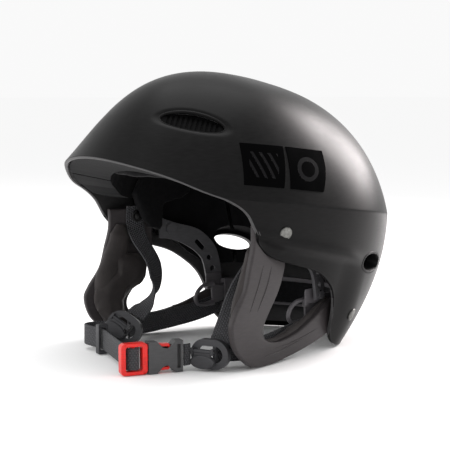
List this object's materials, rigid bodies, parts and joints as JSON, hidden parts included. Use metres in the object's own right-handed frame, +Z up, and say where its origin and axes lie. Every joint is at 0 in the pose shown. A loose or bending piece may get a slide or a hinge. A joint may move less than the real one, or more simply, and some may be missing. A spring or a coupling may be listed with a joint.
{
  "type": "water sports helmet",
  "caption": "Peaked water sports helmet with vented shell, foam liner, ear guards, dial-fitted nape cradle and a side-release chin strap.",
  "frame": {"origin": "centre of the bounding box at ground height, the helmet standing on its ear guards and the rear of its shell", "axes": "+Z up, -Y towards the peak, +X towards the wearer's left"},
  "size_m": [0.223, 0.276, 0.2162],
  "materials": {
    "shell": "matt black moulded shell with a soft sheen",
    "foam": "black closed-cell foam",
    "pad_cloth": "black brushed cloth over foam",
    "vent_plastic": "black moulded plastic",
    "panel": "gloss black panel with a plain pattern",
    "ear_guard": "dark grey moulded guard",
    "ear_foam": "dark soft foam",
    "rivet": "cast and tumbled",
    "webbing": "dark grey woven webbing",
    "divider": "dark grey acetal",
    "pin": "plain steel",
    "buckle_grey": "dark grey acetal",
    "buckle_red": "bright red acetal",
    "headband": "dark grey flexible nylon",
    "cradle": "grey moulded nylon"
  },
  "bodies": {
    "helmet": {"outer_shell": "shell", "liner_crown": "foam", "liner_front": "foam", "liner_rear": "foam", "liner_side_left": "foam", "liner_side_right": "foam", "brow_pad": "pad_cloth", "crown_pad": "pad_cloth", "side_pad_left": "pad_cloth", "side_pad_right": "pad_cloth", "vent_ring_left": "vent_plastic", "vent_ring_right": "vent_plastic", "vent_grille_left": "vent_plastic", "vent_grille_right": "vent_plastic", "patch_front": "panel", "patch_rear": "panel", "ear_guard_left": "ear_guard", "ear_guard_right": "ear_guard", "ear_pad_left": "ear_foam", "ear_pad_right": "ear_foam", "front_rivets": "rivet", "rear_rivets": "rivet", "front_washers": "rivet", "front_strap_left": "webbing", "front_strap_right": "webbing", "rear_strap_left": "webbing", "rear_strap_right": "webbing", "chin_strap_left": "webbing", "chin_strap_right": "webbing", "divider_left": "divider", "divider_right": "divider", "cam_pin_left": "pin", "cam_pin_right": "pin", "headband_pins": "pin", "headband_studs": "pin", "buckle_female": "buckle_grey", "headband_left": "headband", "headband_right": "headband", "wing_left": "headband", "wing_right": "headband"},
    "cradle": {"cradle_housing": "cradle", "nape_pad": "pad_cloth"},
    "dial": {"dial_knob": "cradle", "dial_pinion": "cradle"},
    "rack_left_slide": {"rack_left": "headband"},
    "rack_right_slide": {"rack_right": "headband"},
    "cam_left": {"cam_lever_left": "divider"},
    "cam_right": {"cam_lever_right": "divider"},
    "buckle_insert": {"buckle_male": "buckle_red", "buckle_webbing": "webbing"},
    "prong_upper": {"buckle_prong_upper": "buckle_red"},
    "prong_lower": {"buckle_prong_lower": "buckle_red"},
    "keeper": {"strap_keeper": "divider"}
  },
  "joints": [
    {"name": "dial_turn", "type": "hinge", "parent": "cradle", "child": "dial", "pos_m": [0, 0.09462, 0.031], "axis": [0, -1, 0], "range_deg": [-45, 80]},
    {"name": "cradle_fit", "type": "slide", "parent": "helmet", "child": "cradle", "axis": [0, -1, 0], "range_m": [-0.0035, 0.0062]},
    {"name": "rack_left_travel", "type": "hinge", "parent": "cradle", "child": "rack_left_slide", "pos_m": [0, 0.01662, 0.031], "axis": [0, 0, 1], "range_deg": [-2.7, 4.7]},
    {"name": "rack_right_travel", "type": "hinge", "parent": "cradle", "child": "rack_right_slide", "pos_m": [0, 0.01662, 0.031], "axis": [0, 0, 1], "range_deg": [-4.7, 2.7]},
    {"name": "cam_left_open", "type": "hinge", "parent": "helmet", "child": "cam_left", "pos_m": [0.07171, -0.07953, 0.0142], "axis": [-0.9137, -0.4064, 0], "range_deg": [0, 75]},
    {"name": "cam_right_open", "type": "hinge", "parent": "helmet", "child": "cam_right", "pos_m": [-0.03592, -0.07587, 0.01887], "axis": [-0.7595, -0.3787, 0.529], "range_deg": [0, 75]},
    {"name": "buckle_release", "type": "slide", "parent": "helmet", "child": "buckle_insert", "axis": [-0.28, -0.96, 0], "range_m": [0, 0.024]},
    {"name": "prong_upper_press", "type": "hinge", "parent": "buckle_insert", "child": "prong_upper", "pos_m": [0.04897, -0.11711, 0.0192], "axis": [-0.96, 0.28, 0], "range_deg": [0, 6], "stiffness_Nm_per_rad": 0.5},
    {"name": "prong_lower_press", "type": "hinge", "parent": "buckle_insert", "child": "prong_lower", "pos_m": [0.04897, -0.11711, 0.0038], "axis": [0.96, -0.28, 0], "range_deg": [0, 6], "stiffness_Nm_per_rad": 0.5},
    {"name": "keeper_slide", "type": "slide", "parent": "helmet", "child": "keeper", "axis": [0.9945, -0.1045, 0], "range_m": [-0.003, 0.003]}
  ],
  "couplings": [
    {"joint": "dial_turn", "follows": "cradle_fit", "rad_per_m": 222.22},
    {"joint": "rack_left_travel", "follows": "cradle_fit", "rad_per_m": 12.821},
    {"joint": "rack_right_travel", "follows": "cradle_fit", "rad_per_m": -12.821}
  ]
}
